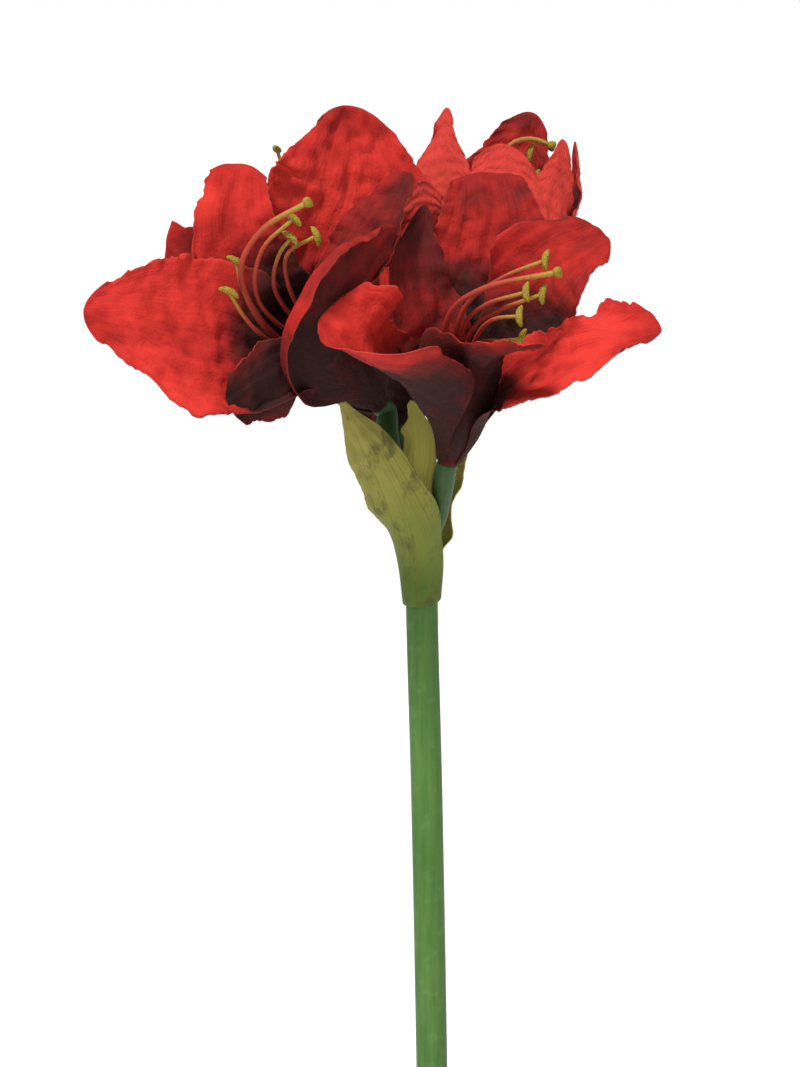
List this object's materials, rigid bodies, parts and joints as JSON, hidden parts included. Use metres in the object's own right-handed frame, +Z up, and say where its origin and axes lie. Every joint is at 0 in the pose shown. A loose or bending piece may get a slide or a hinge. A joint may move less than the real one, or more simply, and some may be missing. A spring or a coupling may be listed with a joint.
{
  "type": "potted amaryllis in flower",
  "caption": "Potted amaryllis: a round tapered pot of soil with a half-buried bulb, and one upright scape that carries large red blooms above papery bracts.",
  "frame": {"origin": "centre of the pot's flat underside", "axes": "+Z up along the pot's axis, -Y towards the viewer of the picture, +X to the viewer's right"},
  "size_m": [0.246, 0.2593, 0.6598],
  "materials": {
    "clay": "matt fired clay",
    "soil": "rough dark potting soil",
    "tunic": "dry papery bulb skin",
    "stem": "smooth green stem with a faint bloom",
    "bract": "papery yellow-green bract with darker veins",
    "petal": "velvety crinkled red petal, dark maroon in its throat",
    "stamen": "coral filaments with olive-yellow tips"
  },
  "bodies": {
    "root": {"pot": "clay", "soil": "soil", "bulb": "tunic", "scape": "stem", "bract_front": "bract", "bract_back": "bract", "bract_inner": "bract", "bloom_left": "petal", "stamens_left": "stamen", "bloom_front": "petal", "stamens_front": "stamen", "bloom_back": "petal", "stamens_back": "stamen", "bloom_rear": "petal", "stamens_rear": "stamen"}
  },
  "joints": []
}
